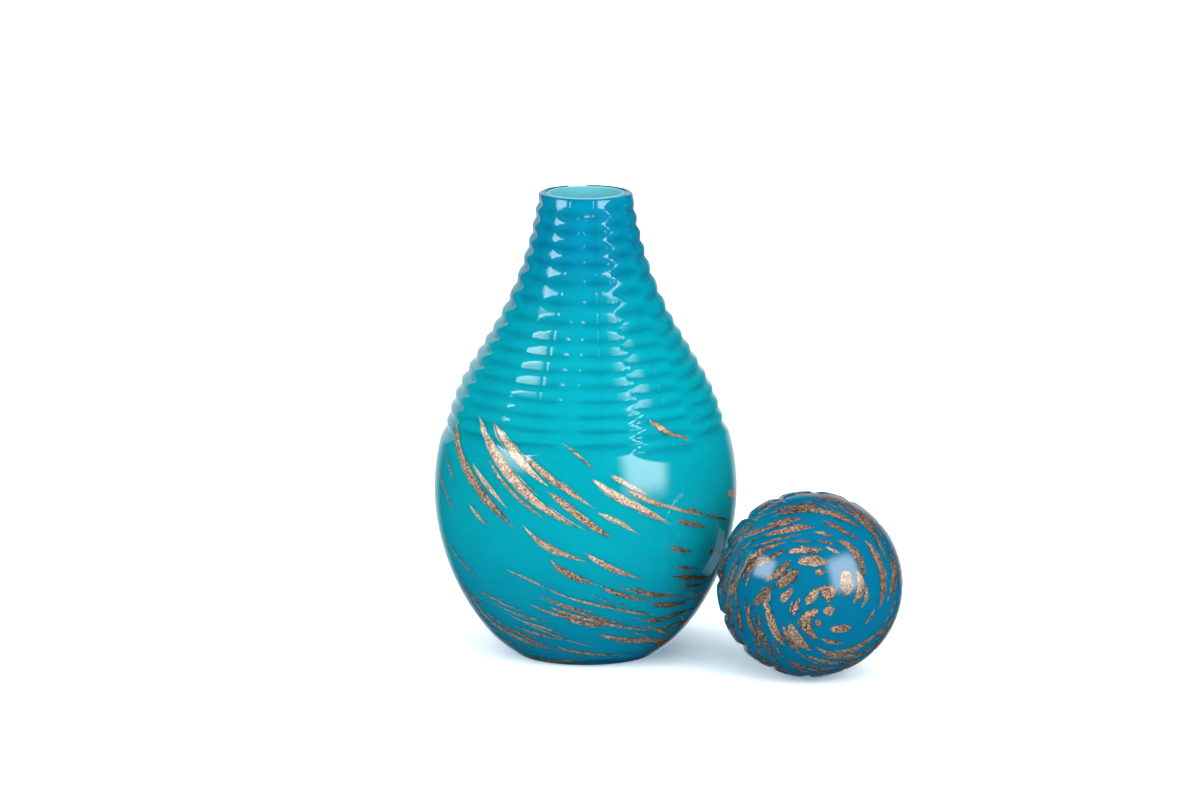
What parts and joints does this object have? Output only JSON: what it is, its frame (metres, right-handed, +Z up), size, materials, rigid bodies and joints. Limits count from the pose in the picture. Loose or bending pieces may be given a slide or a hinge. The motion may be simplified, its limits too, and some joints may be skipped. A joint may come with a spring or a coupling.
{
  "type": "ball-stoppered glass bottle",
  "caption": "Egg-shaped cased-glass bottle with a narrow cut neck, a wheel-cut shoulder and a smooth belly, its round cut ball stopper taken off and lying beside it.",
  "frame": {"origin": "centre of the bottle's ground foot, on the surface it stands on", "axes": "+Z up along the bottle's axis; +Y away from the front, so that the stopper lies to the right (+X) and a little to the front (-Y)"},
  "size_m": [0.2396, 0.1827, 0.24],
  "materials": {
    "clear_casing_glass": "clear polished glass with bronze glitter under it, wheel-cut on the shoulder",
    "opal_lining_glass": "opaque turquoise glass, polished",
    "opal_stopper_glass": "opaque turquoise glass under the clear casing",
    "clear_stopper_glass": "clear polished glass with bronze glitter under it, wheel-cut round the peg",
    "ground_peg_glass": "fine-ground glass"
  },
  "bodies": {
    "bottle": {"bottle_casing": "clear_casing_glass", "bottle_lining": "opal_lining_glass"},
    "stopper": {"stopper_core": "opal_stopper_glass", "stopper_casing": "clear_stopper_glass", "stopper_peg": "ground_peg_glass"}
  },
  "joints": [
    {"name": "stopper_lift", "type": "slide", "parent": "bottle", "child": "stopper", "axis": [0, 0, 1], "range_m": [0, 0.28]}
  ]
}
